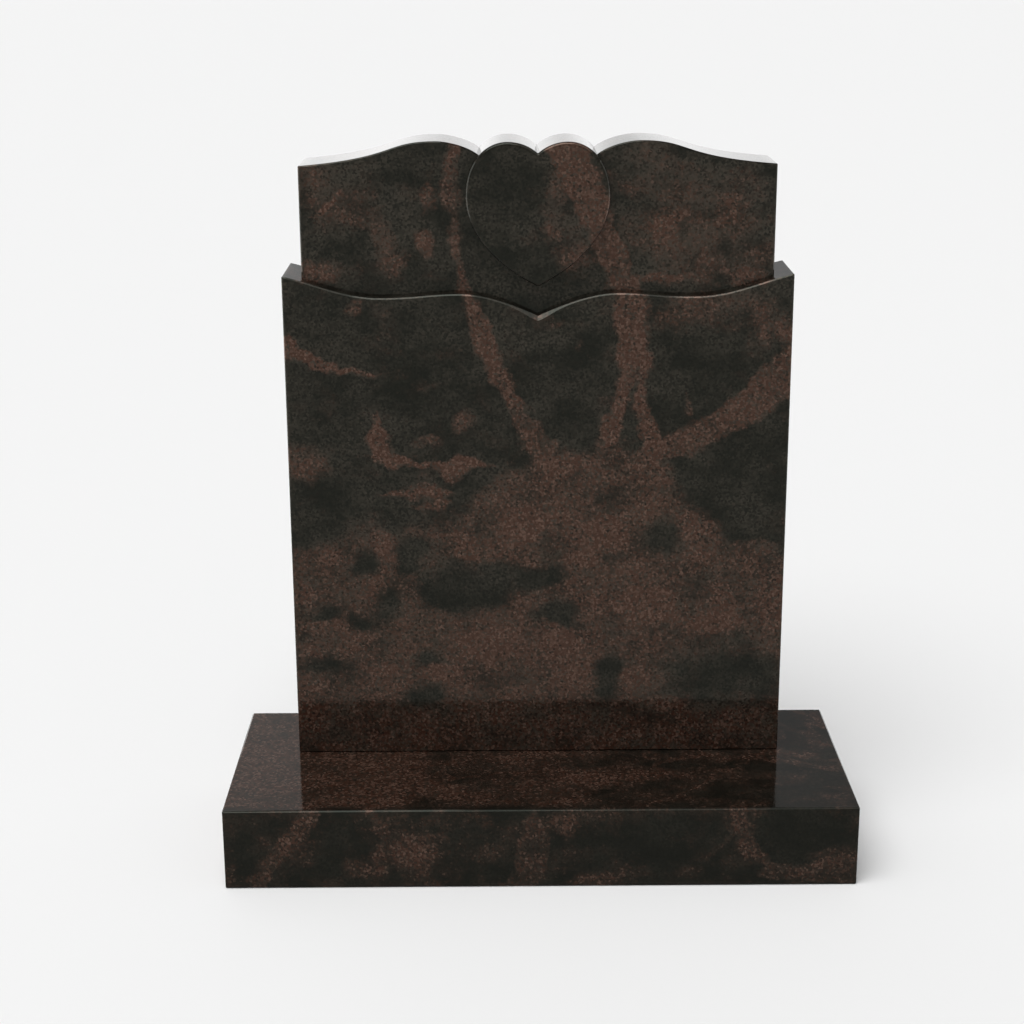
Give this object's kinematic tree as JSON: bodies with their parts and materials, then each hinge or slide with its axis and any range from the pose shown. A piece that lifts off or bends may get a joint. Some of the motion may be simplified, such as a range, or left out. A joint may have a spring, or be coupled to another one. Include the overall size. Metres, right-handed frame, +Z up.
{
  "type": "lawn headstone",
  "caption": "Upright lawn headstone of polished dark granite: serpentine top, raised heart and a curved, pointed ledge with shoulders, standing on a rectangular base.",
  "frame": {"origin": "middle of the base's underside, on the ground", "axes": "+Z up; the polished face with the heart looks towards -Y; +X is to the right of someone who faces it"},
  "size_m": [0.762, 0.305, 0.8703],
  "materials": {
    "headstone_granite": "polished",
    "base_granite": "polished"
  },
  "bodies": {
    "root": {"headstone": "headstone_granite", "base": "base_granite"}
  },
  "joints": []
}
